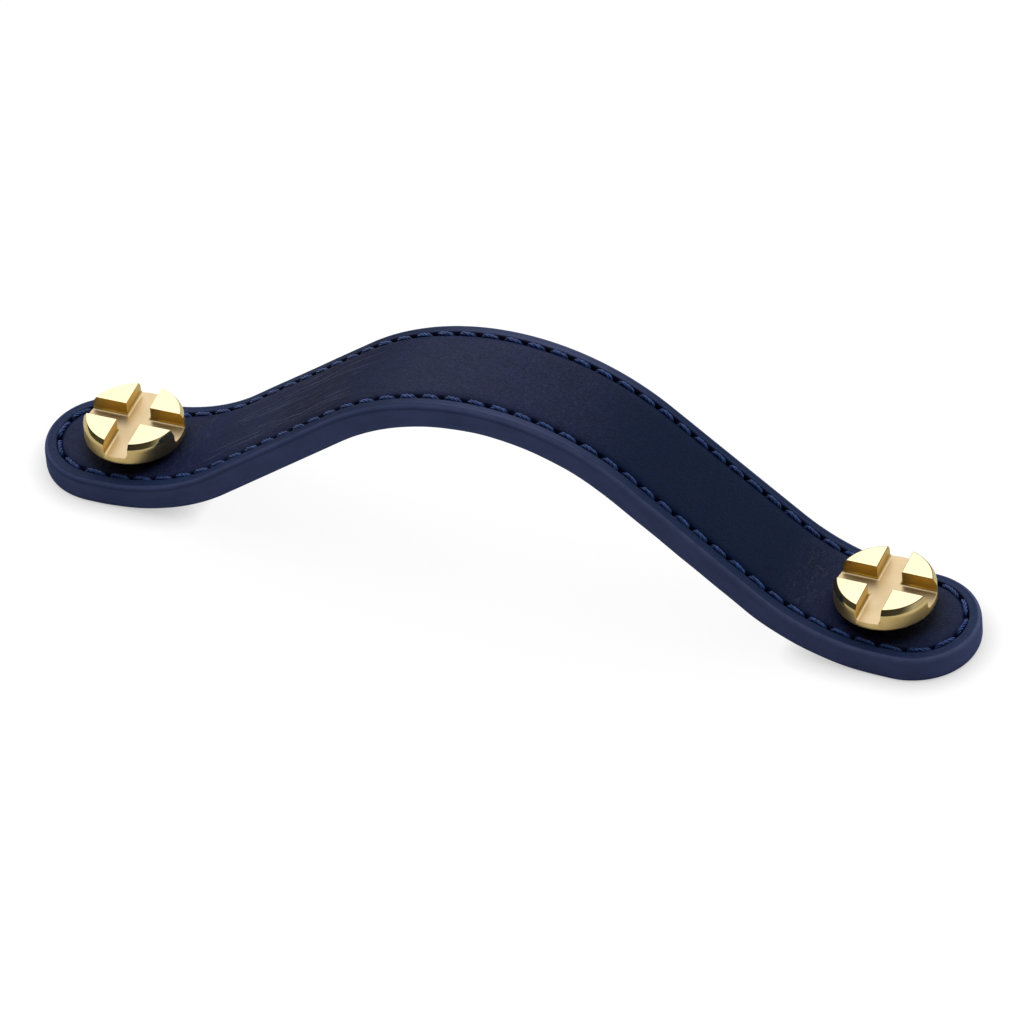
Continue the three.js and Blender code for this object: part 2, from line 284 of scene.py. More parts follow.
# Each ring's inset and height, from the underside over the edge to the top. A third number is a
# share of the way from there to the middle line of the strap.
UNDERSIDE = [
    *[(GROOVE_REACH, 0, share) for share in (0.995, 0.75, 0.5, 0.25, 0)],
    *[(3.2, 0.05), (3.0, 0.25), (2.85, 0.62), (2.68, 0.9), (2.5, 0.96), (2.32, 0.9), (2.15, 0.62)],
    *[(2.0, 0.25), (1.8, 0.05), (1.2, 0), (0.75, 0.02), (0.45, 0.1), (0.22, 0.28), (0.07, 0.6)],
]
SIDE = [(0, 1.05), (0, 1.7), (0, 2.4), (0, 3.1), (0.02, 3.55)]
TOP_EDGE = [(0.09, 3.95), (0.22, 4.25), (0.4, 4.47), (0.6, 4.58), (0.78, 4.6)]
MARGIN = [(0.95, 4.6), (1.12, 4.59), (1.3, 4.6), (1.5, 4.63), (1.68, 4.66), (1.83, 4.67), (1.94, 4.65)]
GROOVE = [
    *[(2.04, 4.6), (2.12, 4.5), (2.22, 4.36), (2.35, 4.25), (2.5, 4.21), (2.65, 4.25), (2.78, 4.36)],
    *[(2.88, 4.48), (2.98, 4.57), (3.12, 4.66), (3.35, 4.74), (3.65, 4.8)],
]
MIDDLE = [
    (GROOVE_REACH, height, share)
    for share, height in (
        *[(0, 4.83), (0.1, 4.86), (0.22, 4.88), (0.38, 4.89), (0.55, 4.9), (0.72, 4.9)],
        *[(0.87, 4.9), (0.995, 4.9)],
    )
]
RINGS = [*UNDERSIDE, *SIDE, *TOP_EDGE, *MARGIN, *GROOVE, *MIDDLE]

HOLE_DEPTH = 1.6
HOLE_HALF_LENGTH = 0.46
HOLE_HALF_WIDTH = 0.36
BACK_HOLE_DEPTH = 0.7
SEAT = THICKNESS + 0.22  # a flat place in the leather for the screw's collar
PULL_DEPTH = 0.07  # how far a stitch's ends pull the leather down around its holes
PULL_HALF_LENGTH = 1.1
PULL_HALF_WIDTH = 0.9
GRAIN_WAVE = 0.035  # unevenness of the grain side
GRAIN_WAVE_FROM = 0.5  # inset at which it begins
GRAIN_WAVE_SIZE = 7
EDGE_WAVE = 0.05  # unevenness of the painted edge
EDGE_WAVE_TO = 0.3  # inset at which it ends
EDGE_WAVE_SIZE = 4
EDGE_SETBACK = 0.02  # how far all rings are set inwards
ROOM_BOTTOM = -2  # the rooms for the screws are cut from under the strap to well over it
ROOM_TOP = 9
ROOM_FACETS = 96


def waviness(s, y, size):
    """A gentle unevenness of hand-finished leather, from -1 to 1, on a scale of size."""
    a, b = s / size, y / size
    return (
        np.sin(1.7 * a + 1.1 * np.sin(0.9 * b + 0.4))
        + np.sin(2.3 * b - 0.8 * a + 1.9)
        + np.sin(3.1 * a + 1.7 * b + 0.6)
    ) / 3


def strap():
    """The strap, ring by ring from its underside over the edge to the top, with room for the screws."""
    distance, from_hole = along_seam(COLUMNS_A_STITCH)
    base, out_s, out_y, reach = seam_base(distance)
    columns = len(distance)
    rings, flats, holes, insets = [], [], [], []
    for inset, height, *share in RINGS:
        depth = inset + (share[0] * (reach - inset) if share else 0)
        s = base + out_s * (reach - depth)
        y = out_y * (reach - depth)
        on_top = height > THICKNESS / 2
        across = depth - SEAM_INSET
        hole = np.exp(-((from_hole / HOLE_HALF_LENGTH) ** 4) - (across / HOLE_HALF_WIDTH) ** 6)
        pulled = np.exp(-((from_hole / PULL_HALF_LENGTH) ** 2) - (across / PULL_HALF_WIDTH) ** 2)
        if on_top:
            h = height - HOLE_DEPTH * hole - PULL_DEPTH * pulled
            h = h + GRAIN_WAVE * waviness(s, y, GRAIN_WAVE_SIZE) * (depth > GRAIN_WAVE_FROM)
        else:
            h = height + BACK_HOLE_DEPTH * hole
        edge_wave = EDGE_WAVE * waviness(s, height, EDGE_WAVE_SIZE) * (depth < EDGE_WAVE_TO)
        s = s - out_s * (edge_wave + EDGE_SETBACK)
        y = y - out_y * (edge_wave + EDGE_SETBACK)
        rings.append(bend(s, y, h))
        flats.append(np.stack([s, y, h + 0 * s], -1))
        holes.append(hole + 0 * s)
        insets.append(depth + 0 * s)
    faces = grid_faces(len(rings), columns, False)
    last = (len(rings) - 1) * columns
    for i in range(columns // 2):
        a, b, c, d = i, i + 1, (columns - i - 1) % columns, (columns - i) % columns
        low = [v for k, v in enumerate((a, d, c, b)) if v not in (a, d, c, b)[:k]]
        high = [last + v for k, v in enumerate((a, b, c, d)) if v not in (a, b, c, d)[:k]]
        faces += [tuple(low), tuple(high)] if len(low) > 2 else []
    thing = mesh_object(
        "strap_leather",
        np.concatenate(rings),
        faces,
        {
            "flat": np.concatenate(flats),
            # the holes' shape, which the leather's material also uses to paint shade in them
            "hole": np.concatenate(holes),
            "inset": np.concatenate(insets),
        },
    )
    rooms = []
    for x in (-HOLE_SPACING / 2, HOLE_SPACING / 2):
        sleeve, collar = SLEEVE_RADIUS + CLEARANCE, COLLAR_RADIUS + CLEARANCE
        room = [
            *[(0, ROOM_BOTTOM), (sleeve, ROOM_BOTTOM), (sleeve, SEAT)],
            *[(collar, SEAT), (collar, ROOM_TOP), (0, ROOM_TOP)],
        ]
        rooms.append(lathe("room", room, ROOM_FACETS, x))
    cut(thing, rooms)
    return thing


# Stitches

STEPS_A_STITCH = 20
PLY_SIDES = 8
NUDGE = 0.01  # a small step, to find which way is outwards


def stitch_path(distance, from_hole, back):
    """The height of a thread's centre over the underside, for places along the seam."""
    half = stitch_pitch(distance) / 2
    bow = 1 - ((half - np.abs(from_hole)) / half) ** 2
    if back:
        rise = BOBBIN_RISE * np.exp(-((from_hole / BOBBIN_RISE_REACH) ** 2))
        return BOBBIN_HEIGHT + rise - BOBBIN_SAG * bow
    dive = NEEDLE_DIVE * np.exp(-((from_hole / NEEDLE_DIVE_REACH) ** 2))
    return THICKNESS - NEEDLE_SINK + NEEDLE_BOW * bow - dive


def stitches(name, back):
    """One thread of three twisted plies, laid from hole to hole all round the seam."""
    distance, from_hole = along_seam(STEPS_A_STITCH)
    base, out_s, out_y, reach = seam_base(distance)
    progress = from_hole / (stitch_pitch(distance) / 2) - np.sign(from_hole)
    swing = 0 if back else NEEDLE_SLANT * progress * (1 - progress**6)
    s = base + out_s * (reach - SEAM_INSET + swing)
    y = out_y * (reach - SEAM_INSET + swing)
    h = stitch_path(distance, from_hole, back)
    centre = bend(s, y, h)
    ahead = np.roll(centre, -1, 0) - np.roll(centre, 1, 0)
    ahead /= np.linalg.norm(ahead, axis=1)[:, None]
    outward = bend(s + NUDGE * out_s, y + NUDGE * out_y, h) - centre
    outward -= ahead * (outward * ahead).sum(1)[:, None]
    outward /= np.linalg.norm(outward, axis=1)[:, None]
    upward = np.cross(ahead, outward)
    pinch = 1 - PINCH * np.exp(-((from_hole / PINCH_REACH) ** 2))
    turns = round(SEAM_LENGTH / TWIST_LENGTH)
    round_seam = 2 * math.pi * distance / SEAM_LENGTH
    phase = turns * round_seam + TWIST_DRIFT * np.sin(TWIST_DRIFTS * round_seam)
    rows, columns = len(distance), PLY_SIDES
    places, faces, fibres, holes = [], [], [], []
    section = np.arange(PLY_SIDES) * 2 * math.pi / PLY_SIDES
    for ply in range(PLIES):
        angle = phase + ply * 2 * math.pi / PLIES
        offset = outward * np.cos(angle)[:, None] + upward * (THREAD_FLATNESS * np.sin(angle)[:, None])
        line = centre + offset * (TWIST_RADIUS * pinch)[:, None]
        around = (
            outward[:, None] * np.cos(section + angle[:, None])[..., None]
            + upward[:, None] * (THREAD_FLATNESS * np.sin(section + angle[:, None])[..., None])
        )
        first = ply * rows * columns
        places.append((line[:, None] + around * (PLY_RADIUS * pinch)[:, None, None]).reshape(-1, 3))
        faces += [tuple(first + v for v in face) for face in grid_faces(rows, columns, True)]
        grid = np.zeros((rows, columns, 3))
        grid[..., 0] = distance[:, None]
        grid[..., 1] = np.arange(columns) / columns
        grid[..., 2] = ply
        fibres.append(grid.reshape(-1, 3))
        holes.append(np.repeat(np.exp(-((from_hole / HOLE_SHADE_REACH) ** 2)), columns))
    if back:
        faces = [face[::-1] for face in faces]
    thing = mesh_object(
        name,
        np.concatenate(places),
        faces,
        {"fibre": np.concatenate(fibres), "hole": np.concatenate(holes)},
    )
    flip_inside_out(thing)
    return thing


def flip_inside_out(thing):
    """Turns the faces outwards if the closed mesh holds a negative volume."""
    shape = bmesh.new()
    shape.from_mesh(thing.data)
    if shape.calc_volume(signed=True) < 0:
        bmesh.ops.reverse_faces(shape, faces=shape.faces)
        shape.to_mesh(thing.data)
    shape.free()


# Screws

HEAD_FACETS = 128
CHAMFER_SOFTENING = 0.45  # how far the corner under the chamfer is softened to either side
SOFTENING_POINTS = 7
BREAK_EDGE = 0.15  # the small bevel along the head's sharp edges
BEVELLED_FROM = math.radians(28)  # an edge that turns by more than this gets the bevel
SHARP_FROM = math.radians(24)  # and one that turns by more than this stays sharp in the shading
EDGE_REACH = 1.2 * BREAK_EDGE  # how far under the top its bevels keep the finish of an edge
FILLET_STEPS = 6
UNDERCUT_STEPS = 5
CUTTER_EXCESS = 1  # how far a slot's cutter stands out of the head
FLAT_SLACK = 0.01  # how far under the top a face of the polished flats may lie
FACE_SLACK = 0.1  # how far past the foot of the chamfer or the slot's floor a face may lie
SIDE_REACH = 0.7  # how far in from the head's side turned faces may lie


def rounded(centre, radius, start, stop, steps):
    """Points of an arc in a profile, as (radius, height)."""
    return [
        (centre[0] + radius * math.cos(a), centre[1] + radius * math.sin(a))
        for a in np.linspace(start, stop, steps + 1)
    ]


def slot_cutter(x, top, turn):
    """A bar with its lower edges rounded, which leaves a slot with fillets along its floor."""
    half, floor = SLOT_WIDTH / 2, top - SLOT_DEPTH
    fillet = floor + SLOT_FILLET
    section = [
        *rounded((half - SLOT_FILLET, fillet), SLOT_FILLET, 0, -math.pi / 2, FILLET_STEPS),
        *rounded((SLOT_FILLET - half, fillet), SLOT_FILLET, -math.pi / 2, -math.pi, FILLET_STEPS),
        (-half, top + CUTTER_EXCESS),
        (half, top + CUTTER_EXCESS),
    ]
    reach = HEAD_RADIUS + CUTTER_EXCESS
    ends = []
    for y in (-reach, reach):
        ends += [
            (x + a * math.cos(turn) - y * math.sin(turn), a * math.sin(turn) + y * math.cos(turn), z)
            for a, z in section
        ]
    count = len(section)
    faces = [(i, (i + 1) % count, count + (i + 1) % count, count + i) for i in range(count)]
    faces += [tuple(range(count))[::-1], tuple(range(count, 2 * count))]
    thing = mesh_object("slot", np.array(ends), faces)
    flip_inside_out(thing)
    return thing


def chamfer_foot(corner):
    """The softened corner between a head's side and its chamfer, as (radius, height)."""
    slope = math.atan2(CHAMFER_WIDTH, CHAMFER_HEIGHT)
    places = []
    for t in np.linspace(0, 1, SOFTENING_POINTS):
        down, up = CHAMFER_SOFTENING * (1 - t) ** 2, CHAMFER_SOFTENING * t**2
        places.append((HEAD_RADIUS - up * math.sin(slope), corner - down + up * math.cos(slope)))
    return places


# Places of the finishes among a screw's materials
POLISHED, CHAMFERED, TURNED, WALL_CUT, FLOOR_CUT, EDGE = range(6)


def screw(side, x, finishes):
    """A screw on its side of the strap, with its finishes in the order above."""
    seat = THICKNESS + CLEARANCE
    under = seat + COLLAR_HEIGHT
    top = under + HEAD_HEIGHT
    bore_end = top - SLOT_DEPTH - BORE_ROOF
    undercut = (HEAD_RADIUS - UNDERCUT_RADIUS, under + UNDERCUT_RADIUS)
    profile = [
        (0, bore_end),
        (BORE_RADIUS, bore_end),
        (BORE_RADIUS, SLEEVE_SETBACK),
        (SLEEVE_RADIUS, SLEEVE_SETBACK),
        (SLEEVE_RADIUS, seat),
        (COLLAR_RADIUS, seat),
        (COLLAR_RADIUS, under),
        *rounded(undercut, UNDERCUT_RADIUS, -math.pi / 2, 0, UNDERCUT_STEPS),
        *chamfer_foot(top - CHAMFER_HEIGHT),
        (HEAD_RADIUS - CHAMFER_WIDTH, top),
        (0, top),
    ]
    thing = lathe("screw_" + side + "_brass", profile, HEAD_FACETS, x)
    flip_inside_out(thing)
    turn = SLOT_TURNS[side]
    cut(thing, [slot_cutter(x, top, turn), slot_cutter(x, top, turn + math.pi / 2)])
    for finish in finishes:
        thing.data.materials.append(finish)
    bevel = thing.modifiers.new("break edges", "BEVEL")
    bevel.width = BREAK_EDGE * MM
    bevel.segments = 2
    bevel.limit_method = "ANGLE"
    bevel.angle_limit = BEVELLED_FROM
    bevel.use_clamp_overlap = True
    bevel.material = EDGE
    apply_modifiers(thing)
    finish_faces(thing, x, top)
    weighted = thing.modifiers.new("keep flats flat", "WEIGHTED_NORMAL")
    weighted.keep_sharp = True
    apply_modifiers(thing)
    return thing


def finish_faces(thing, x, top):
    """Gives each face of a head its finish: polished on top, turned round the side, milled slots."""
    mesh = thing.data
    for face in mesh.polygons:
        face.use_smooth = True
        c, n = face.center / MM, face.normal
        if face.material_index == EDGE and c.z > top - EDGE_REACH:
            continue
        out = math.hypot(c.x - x, c.y)
        faces_out = n.x * (c.x - x) + n.y * c.y > 0.5 * out
        slopes_up, faces_up = n.z > 0.3, n.z > 0.7
        if c.z > top - FLAT_SLACK:
            face.material_index = POLISHED
        elif c.z > top - CHAMFER_HEIGHT - FACE_SLACK and slopes_up and faces_out:
            face.material_index = CHAMFERED
        elif c.z < top - SLOT_DEPTH - FACE_SLACK or (out > HEAD_RADIUS - SIDE_REACH and faces_out):
            face.material_index = TURNED
        elif faces_up:
            face.material_index = FLOOR_CUT
        else:
            face.material_index = WALL_CUT
    mesh.set_sharp_from_angle(angle=SHARP_FROM)


# Materials


class Nodes:
    """Short ways to add nodes to a material. A value may be a number, a colour or another node's
    socket."""

    def __init__(self, tree):
        self.tree = tree
        tree.nodes.clear()

    def add(self, kind, **settings):
        node = self.tree.nodes.new(kind)
        for key, value in settings.items():
            setattr(node, key, value)
        return node

    def feed(self, socket, value):
        if isinstance(value, bpy.types.NodeSocket):
            self.tree.links.new(value, socket)
        else:
            socket.default_value = value

    def math(self, operation, *values):
        node = self.add("ShaderNodeMath", operation=operation)
        for socket, value in zip(node.inputs, values):
            self.feed(socket, value)
        return node.outputs[0]

    def total(self, *values):
        result = values[0]
        for value in values[1:]:
            result = self.math("ADD", result, value)
        return result

    def product(self, *values):
        result = values[0]
        for value in values[1:]:
            result = self.math("MULTIPLY", result, value)
        return result

    def ramp(self, value, low, high, start=0.0, stop=1.0):
        """Goes smoothly from start at low to stop at high."""
        node = self.add("ShaderNodeMapRange", interpolation_type="SMOOTHSTEP")
        for key, number in zip(("Value", 1, 2, 3, 4), (value, low, high, start, stop)):
            self.feed(node.inputs[key], number)
        return node.outputs[0]

    def bump_of(self, value, centre, reach):
        """1 at centre, falling to 0 at reach to either side."""
        away = self.math("ABSOLUTE", self.math("SUBTRACT", value, centre))
        return self.ramp(away, 0.0, reach, 1.0, 0.0)

    def mix(self, share, a, b):
        node = self.add("ShaderNodeMix", data_type="RGBA")
        for socket, value in zip((node.inputs[0], node.inputs[6], node.inputs[7]), (share, a, b)):
            self.feed(socket, value)
        return node.outputs[2]

    def attribute(self, name, output="Vector"):
        return self.add("ShaderNodeAttribute", attribute_name=name).outputs[output]

    def split(self, vector):
        node = self.add("ShaderNodeSeparateXYZ")
        self.feed(node.inputs[0], vector)
        return node.outputs

    def scaled(self, vector, scale, shift=(0, 0, 0)):
        node = self.add("ShaderNodeMapping")
        self.feed(node.inputs["Vector"], vector)
        node.inputs["Scale"].default_value = scale
        node.inputs["Location"].default_value = shift
        return node.outputs[0]

    def noise(self, vector, scale, detail=2.0, rough=0.5, distortion=0.0):
        node = self.add("ShaderNodeTexNoise")
        self.feed(node.inputs["Vector"], vector)
        for key, number in (
            ("Scale", scale),
            ("Detail", detail),
            ("Roughness", rough),
            ("Distortion", distortion),
        ):
            node.inputs[key].default_value = number
        return node.outputs["Fac"]

    def cells(self, vector, scale, feature="F1"):
        node = self.add("ShaderNodeTexVoronoi", feature=feature)
        self.feed(node.inputs["Vector"], vector)
        node.inputs["Scale"].default_value = scale
        return node.outputs["Distance"]

    def hairline(self, vector, scale, width, level=0.5, detail=1.0, distortion=0.0):
        """Thin lines where a noise crosses a level."""
        height = self.noise(vector, scale, detail, 0.5, distortion)
        return self.bump_of(height, level, width)

    def bump(self, height, distance, normal=None):
        node = self.add("ShaderNodeBump")
        node.inputs["Strength"].default_value = 1.0
        node.inputs["Distance"].default_value = distance
        self.feed(node.inputs["Height"], height)
        if normal is not None:
            self.feed(node.inputs["Normal"], normal)
        return node.outputs[0]

    def surface(self, **values):
        """The material's Principled shader, with each value set on its own socket."""
        shader = self.add("ShaderNodeBsdfPrincipled")
        for key, value in values.items():
            self.feed(shader.inputs[key.replace("_", " ")], value)
        out = self.add("ShaderNodeOutputMaterial")
        self.tree.links.new(shader.outputs[0], out.inputs[0])


def new_material(name):
    material = bpy.data.materials.new(name)
    material.use_nodes = True
    return material, Nodes(material.node_tree)


def colour(r, g, b):
    """A linear colour from the numbers, 0 to 255, that a picture shows."""

    def linear(c):
        c /= 255
        return c / 12.92 if c <= 0.04045 else ((c + 0.055) / 1.055) ** 2.4

    return (linear(r), linear(g), linear(b), 1.0)


# Tints of the leather, from 0 to 255 as a picture shows them
TINTS = {
    "deep grain": (24, 32, 64),
    "light grain": (28, 37, 73),
    "mottle": (46, 58, 96),
    # painted light along the strap: a painted highlight on the crest, painted shade down both flanks
    "lit crest": (38, 44, 77),
    "shaded right flank": (2, 26, 59),
    "shaded left flank": (10, 15, 36),
    # painted shadow in the groove under the stitches
    "groove shadow": (7, 9, 20),
    "paint": (63, 75, 115),
    "light paint": (70, 80, 122),
    # partly a rubbed rim, partly a painted highlight on the top rounding
    "lit_rubbed_rim": (88, 97, 134),
    "under rim": (36, 46, 80),
    "margin": (34, 50, 86),
    # painted shade on the margin of the left flank, and a painted highlight on the margin at the crest
    "shaded left margin": (27, 41, 72),
    "lit crest margin": (68, 77, 112),
    # painted shade and painted highlight of the folds
    "fold shadow": (10, 13, 28),
    "fold highlight": (92, 98, 128),
    "scuff": (80, 83, 106),
    "short line": (82, 86, 110),
    "long line": (90, 98, 130),
    "crack": (13, 17, 34),
    # painted shadow of the heads on the leather
    "head shadow": (6, 8, 16),
    "dark speckle": (12, 16, 34),
    "light speckle": (66, 74, 108),
    # painted shade in the stitch holes
    "hole": (2.6, 3.6, 9.9),
}

# Folds of the grain side along the left flank: strength, from s to s, from y to y
FOLDS = [
    (1.0, -54, -17, 3.2, 4.4),
    (0.5, -47, -22, 2.1, 3.1),
    (0.45, -46, -26, 0.3, 1.2),
    (0.4, -44, -24, -1.5, -0.6),
    (0.5, -48, -25, -2.7, -2.2),
    (1.0, -57, -19, -3.8, -4.4),
    (0.7, -52, -17, -5.1, -5.5),
]
FOLD_FADE = 6  # length over which a fold fades at either end
FOLD_REACH = 0.2  # half its width
FOLD_SHADE = 0.28  # how far its dark line lies beside its light one
GRAIN_RELIEF = 0.05
FOLD_RELIEF = 0.09


def tint(name):
    return colour(*TINTS[name])


class StrapPlaces:
    """Where a point lies on the strap, as its material reads it. The coordinates are those of the
    flat strap, in millimetres, so that the grain keeps its size all round the arch."""

    def __init__(self, n):
        self.flat = n.attribute("flat")
        self.s, self.y, self.h = n.split(self.flat)
        self.inset = n.attribute("inset", "Fac")
        self.hole = n.attribute("hole", "Fac")
        self.on_side = n.ramp(self.inset, 0.9, 0.25)
        self.on_grain = n.ramp(self.h, 2.4, 3.4)
        self.in_middle = n.ramp(self.inset, 2.9, 3.3)


def grain_tone(n, at, mottle):
    """The colour of the grain side, with light and shade painted in along the strap: lighter and redder at
    the crest, darker and greener down the right flank, darker on the left flank, and a painted shadow in the
    groove under the stitches.
    """
    clouds = n.noise(at.flat, 0.13, 3, 0.55)
    base = n.mix(n.ramp(clouds, 0.35, 0.65), tint("deep grain"), tint("light grain"))
    # painted highlight at the crest, then painted shade down the right and left flanks
    base = n.mix(n.product(n.bump_of(at.s, -3.0, 24.0), 0.6), base, tint("lit crest"))
    base = n.mix(n.ramp(mottle, 0.42, 0.75, 0.0, 0.5), base, tint("mottle"))
    shaded_right_flank = n.product(n.ramp(at.s, 6.0, 24.0), n.ramp(at.s, 64.0, 52.0), 0.85)
    base = n.mix(shaded_right_flank, base, tint("shaded right flank"))
    base = n.mix(n.product(n.bump_of(at.s, -30.0, 20.0), 0.55), base, tint("shaded left flank"))
    # painted shadow in the groove, under the stitches
    groove_shadow = n.product(n.bump_of(at.inset, 2.2, 0.3), n.ramp(at.h, 3.0, 3.5), 0.8)
    return n.mix(groove_shadow, base, tint("groove shadow"))


def painted_edge(n, at, base):
    """Lays the painted side, its rubbed upper rim with a painted highlight, and the margin outside the seam,
    with painted light and shade along the strap, over a colour.
    """
    clouds = n.noise(n.scaled(at.flat, (0.5, 0.5, 1.2)), 0.35, 3, 0.5)
    paint = n.mix(n.ramp(clouds, 0.35, 0.65), tint("paint"), tint("light paint"))
    base = n.mix(at.on_side, base, paint)
    # the rubbed rim, lighter also as a painted highlight where the top rounding faces the light, wider and
    # stronger towards the right
    lit_rubbed_rim = n.bump_of(at.inset, 0.4, n.ramp(at.s, -20.0, 20.0, 0.34, 0.52))
    rubbed = n.ramp(n.noise(at.flat, 0.5, 3), 0.3, 0.6, 0.55, 1.0)
    lit_rubbed_rim = n.product(lit_rubbed_rim, n.ramp(at.h, 3.6, 4.2), rubbed, n.ramp(at.s, -10.0, 25.0, 0.35, 0.8))
    base = n.mix(lit_rubbed_rim, base, tint("lit_rubbed_rim"))
    # the margin's tone, with painted shade on the left flank and a painted highlight at the crest
    margin_with_painted_light = n.mix(n.ramp(at.s, -60.0, -20.0), tint("margin"), tint("shaded left margin"))
    margin_with_painted_light = n.mix(n.ramp(at.s, -22.0, 22.0), margin_with_painted_light, tint("margin"))
    margin_with_painted_light = n.mix(n.bump_of(at.s, 6.0, 24.0), margin_with_painted_light, tint("lit crest margin"))
    on_margin = n.product(n.ramp(at.inset, 0.5, 0.9), n.ramp(at.inset, 2.0, 1.7), n.ramp(at.h, 4.0, 4.3))
    base = n.mix(n.product(on_margin, 0.85), base, margin_with_painted_light)
    under_rim = n.product(n.bump_of(at.h, 3.9, 0.4), n.ramp(at.inset, 0.5, 0.1), n.ramp(at.s, 30.0, 5.0))
    return n.mix(n.product(under_rim, 0.5), base, tint("under rim"))


def flank_folds(n, at):
    """The light lines of the folds, painted highlight on their ridges, and the dark line beside each, painted
    shade in their hollows.
    """
    swing = n.noise(n.scaled(at.flat, (0.1, 0.03, 0.1)), 1.0, 2)
    wobble = n.product(n.math("SUBTRACT", swing, 0.5), 2.2)
    light, dark = 0.0, 0.0
    for strength, start, stop, start_y, stop_y in FOLDS:
        line = n.total(n.product(n.ramp(at.s, start, stop), stop_y - start_y), wobble, start_y)
        fades_in, fades_out = n.ramp(at.s, start, start + FOLD_FADE), n.ramp(at.s, stop, stop - FOLD_FADE)
        shown = n.product(fades_in, fades_out, strength)
        above = n.math("SUBTRACT", at.y, line)
        light = n.math("MAXIMUM", light, n.product(n.bump_of(above, 0.0, FOLD_REACH), shown))
        dark = n.math("MAXIMUM", dark, n.product(n.bump_of(above, -FOLD_SHADE, FOLD_REACH), shown))
    return n.product(light, at.on_grain), n.product(dark, at.on_grain)


def hairlines(n, at):
    """Long hairlines between the folds, short ones across the strap by the screws, and scuffs there."""
    along = n.scaled(at.flat, (0.02, 0.42, 0.3))
    lines = n.hairline(along, 1.0, 0.013, 0.5, 1.0, 0.25)
    lines = n.math("MAXIMUM", lines, n.hairline(along, 1.7, 0.012, 0.46, 0.0, 0.3))
    flank = n.product(n.ramp(at.s, -60.0, -50.0), n.ramp(at.s, -16.0, -26.0), n.ramp(at.inset, 3.4, 4.4))
    long_lines = n.product(lines, flank, at.on_grain)

    across = n.scaled(at.flat, (0.62, 0.16, 0.3), (7.3, 0, 0))
    lines = n.hairline(across, 1.0, 0.02, 0.5, 2.0, 0.6)
    lines = n.math("MAXIMUM", lines, n.hairline(across, 1.8, 0.02, 0.55, 1.0, 0.8))
    by_left = n.product(n.bump_of(at.s, -61.0, 7.0), n.ramp(at.inset, 3.2, 4.2))
    by_right = n.product(n.bump_of(at.s, 58.5, 6.5), n.ramp(at.inset, 3.2, 4.2))
    short_lines = n.product(n.math("MAXIMUM", by_left, by_right), lines, at.on_grain)
    scuff_grain = n.ramp(n.noise(n.scaled(at.flat, (1.6, 0.5, 1)), 1.0, 4, 0.7), 0.48, 0.72)
    scuffs = n.product(scuff_grain, n.math("MAXIMUM", by_left, n.product(by_right, 0.8)), at.on_grain)
    return long_lines, short_lines, scuffs


def head_shadows(n, at):
    """Painted shadow of the two heads on the grain side close round them."""
    from_screw_s = n.math("SUBTRACT", n.math("ABSOLUTE", at.s), SCREW_S)
    from_screw = n.math("SQRT", n.total(n.product(from_screw_s, from_screw_s), n.product(at.y, at.y)))
    return n.product(n.ramp(from_screw, 9.6, 7.4), at.on_grain, n.math("SUBTRACT", 1.0, at.on_side))


def leather():
    """Navy grain leather with painted edges, and light and shade painted into its colour along the strap."""
    material, n = new_material("navy_leather")
    at = StrapPlaces(n)
    mottle = n.noise(at.flat, 1.1, 4, 0.65)
    lit_fold_ridges, shaded_fold_hollows = flank_folds(n, at)
    long_lines, short_lines, scuffs = hairlines(n, at)
    crackle = n.ramp(n.cells(n.scaled(at.flat, (1, 0.85, 1)), 1.15, "DISTANCE_TO_EDGE"), 0.0, 0.09)
    pores = n.ramp(n.cells(at.flat, 3.6), 0.05, 0.34)
    speckle = n.noise(at.flat, 4.2, 2, 0.6)
    at_crest = n.product(n.ramp(at.s, -26.0, -14.0, 0.35, 1.0), n.ramp(at.s, 26.0, 12.0, 0.25, 1.0))
    pebbled = n.product(at.in_middle, at_crest)

    base = painted_edge(n, at, grain_tone(n, at, mottle))
    for name, *shares in (
        # painted shade and painted highlight of the folds
        ("fold shadow", shaded_fold_hollows, 0.6),
        ("fold highlight", lit_fold_ridges, 0.5),
        ("scuff", scuffs, 0.26),
        ("short line", short_lines, 0.3),
        ("long line", long_lines, 0.25),
        ("crack", n.math("SUBTRACT", 1.0, crackle), at.in_middle, 0.42),
        ("crack", n.ramp(pores, 0.5, 0.0), at.in_middle, 0.35),
        # painted shadow of the heads
        ("head shadow", head_shadows(n, at), 0.75),
        ("dark speckle", n.ramp(speckle, 0.48, 0.36), pebbled, 0.45),
        ("light speckle", n.ramp(speckle, 0.54, 0.68), pebbled, 0.22),
        # painted shade in the stitch holes
        ("hole", at.hole, 0.94),
    ):
        base = n.mix(n.product(*shares), base, tint(name))

    fine = n.noise(at.flat, 5.5, 3, 0.6)
    grain = n.total(n.product(crackle, 0.5), n.product(pores, 0.45), n.product(fine, 0.7))
    normal = n.bump(n.product(grain, n.ramp(at.on_side, 0.0, 1.0, 1.0, 0.25)), GRAIN_RELIEF * MM)
    folds = n.total(
        n.product(long_lines, 0.6),
        n.product(lit_fold_ridges, 0.8),
        n.product(shaded_fold_hollows, -0.5),
        n.product(short_lines, 0.7),
        n.product(mottle, 0.25),
    )
    normal = n.bump(folds, FOLD_RELIEF * MM, normal)
    rough = n.total(n.ramp(mottle, 0.3, 0.7, 0.4, 0.52), n.product(at.on_side, 0.08), n.product(scuffs, 0.15))
    facing = n.add("ShaderNodeLayerWeight").outputs["Facing"]
    gloss = n.ramp(facing, 0.35, 0.66, 0.07, 0.018)
    n.surface(Base_Color=base, Roughness=rough, Normal=normal, Specular_IOR_Level=gloss)
    return material


FIBRE_RELIEF = 0.05


